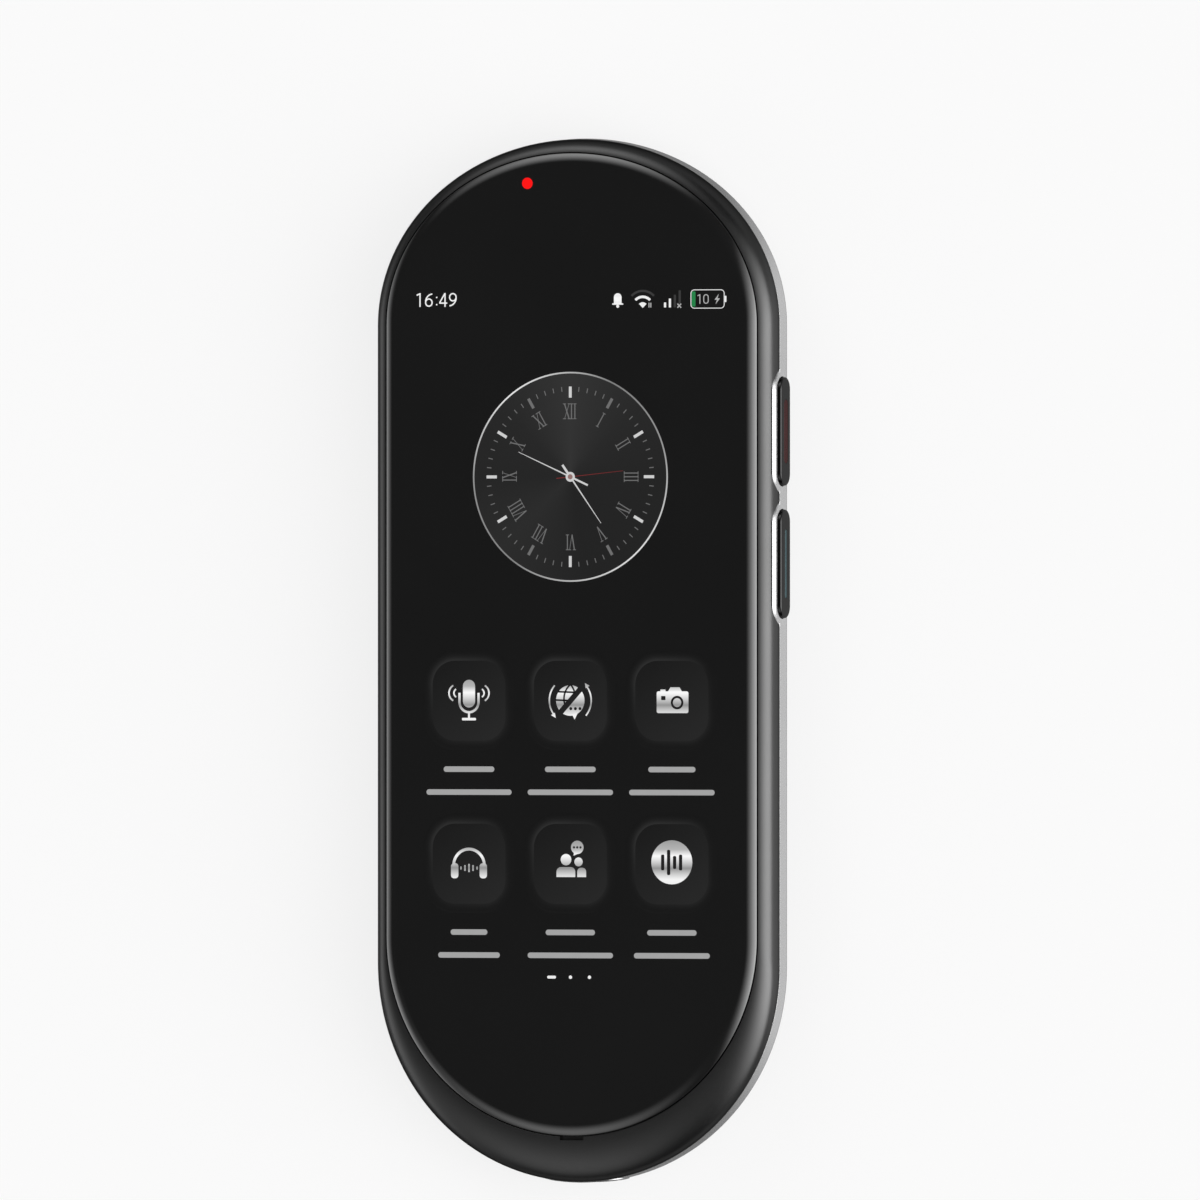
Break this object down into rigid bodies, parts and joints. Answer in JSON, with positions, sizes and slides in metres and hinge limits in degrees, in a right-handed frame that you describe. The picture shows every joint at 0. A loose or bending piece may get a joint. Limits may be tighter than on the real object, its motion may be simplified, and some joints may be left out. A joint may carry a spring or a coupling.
{
  "type": "handheld translator",
  "caption": "Capsule-shaped handheld translator with a glass touch display, silver side band, two sprung talk keys, a power key and a sliding SIM tray.",
  "frame": {"origin": "on the flat back face, midway along the body's length and width", "axes": "+Z out of the screen, +Y towards the top end with the indicator light, +X towards the flank with the talk keys"},
  "size_m": [0.0557, 0.132, 0.012],
  "materials": {
    "back": "dark satin",
    "band": "fine satin silver",
    "black_tape": "matt black film",
    "board": "dark green board",
    "cell": "pouch foil",
    "clear": "clear",
    "connector": "black plastic and contacts",
    "copper": "copper film",
    "cover_glass": "polished black-printed glass with a curved edge",
    "display": "dark display, lit when on",
    "flex": "amber film circuit",
    "foam": "soft black foam",
    "key": "dark grey satin",
    "led": "red light, emissive",
    "lens": "coated lens",
    "mesh": "fine black mesh",
    "red_inlay": "dark red",
    "rim": "dark satin",
    "speaker": "black plastic",
    "steel": "pressed steel",
    "teal_inlay": "dark teal"
  },
  "bodies": {
    "housing": {"cover_glass": "cover_glass", "glass_adhesive": "black_tape", "optical_adhesive": "clear", "display_panel": "display", "display_foam": "foam", "display_flex": "flex", "front_rim": "rim", "mid_frame": "band", "back_cover": "back", "talk_key_switches": "connector", "talk_key_flex": "flex", "talk_key_bracket": "steel", "power_key_switch": "connector", "power_key_flex": "flex", "power_key_bracket": "steel", "sim_reader": "steel", "main_board": "board", "sub_board": "board", "board_screws": "steel", "shield_cans": "steel", "board_connectors": "connector", "battery": "cell", "battery_tape": "black_tape", "battery_flex": "flex", "link_flex": "flex", "usb_c_shell": "steel", "usb_c_tongue": "connector", "speaker_box": "speaker", "speaker_mesh": "mesh", "vibration_motor": "steel", "indicator_led": "led", "light_pipe": "clear", "microphones": "connector", "mic_boot": "foam", "camera_module": "connector", "camera_window": "lens", "lens_ring": "band", "lens_glass": "lens", "flash_lens": "clear", "flash_led": "led", "antennas": "copper"},
    "upper_key": {"upper_talk_key": "key", "upper_key_inlay": "red_inlay"},
    "lower_key": {"lower_talk_key": "key", "lower_key_inlay": "teal_inlay"},
    "power_button": {"power_key": "key"},
    "card_tray": {"sim_tray": "band"}
  },
  "joints": [
    {"name": "upper_key_press", "type": "slide", "parent": "housing", "child": "upper_key", "axis": [-1, 0, 0], "range_m": [0, 0.0003], "stiffness_N_per_m": 2500, "springref_m": -0.0004},
    {"name": "lower_key_press", "type": "slide", "parent": "housing", "child": "lower_key", "axis": [-1, 0, 0], "range_m": [0, 0.0003], "stiffness_N_per_m": 2500, "springref_m": -0.0004},
    {"name": "power_press", "type": "slide", "parent": "housing", "child": "power_button", "axis": [1, 0, 0], "range_m": [0, 0.0003], "stiffness_N_per_m": 2500, "springref_m": -0.0004},
    {"name": "tray_slide", "type": "slide", "parent": "housing", "child": "card_tray", "axis": [-1, 0, 0], "range_m": [0, 0.0125]}
  ]
}
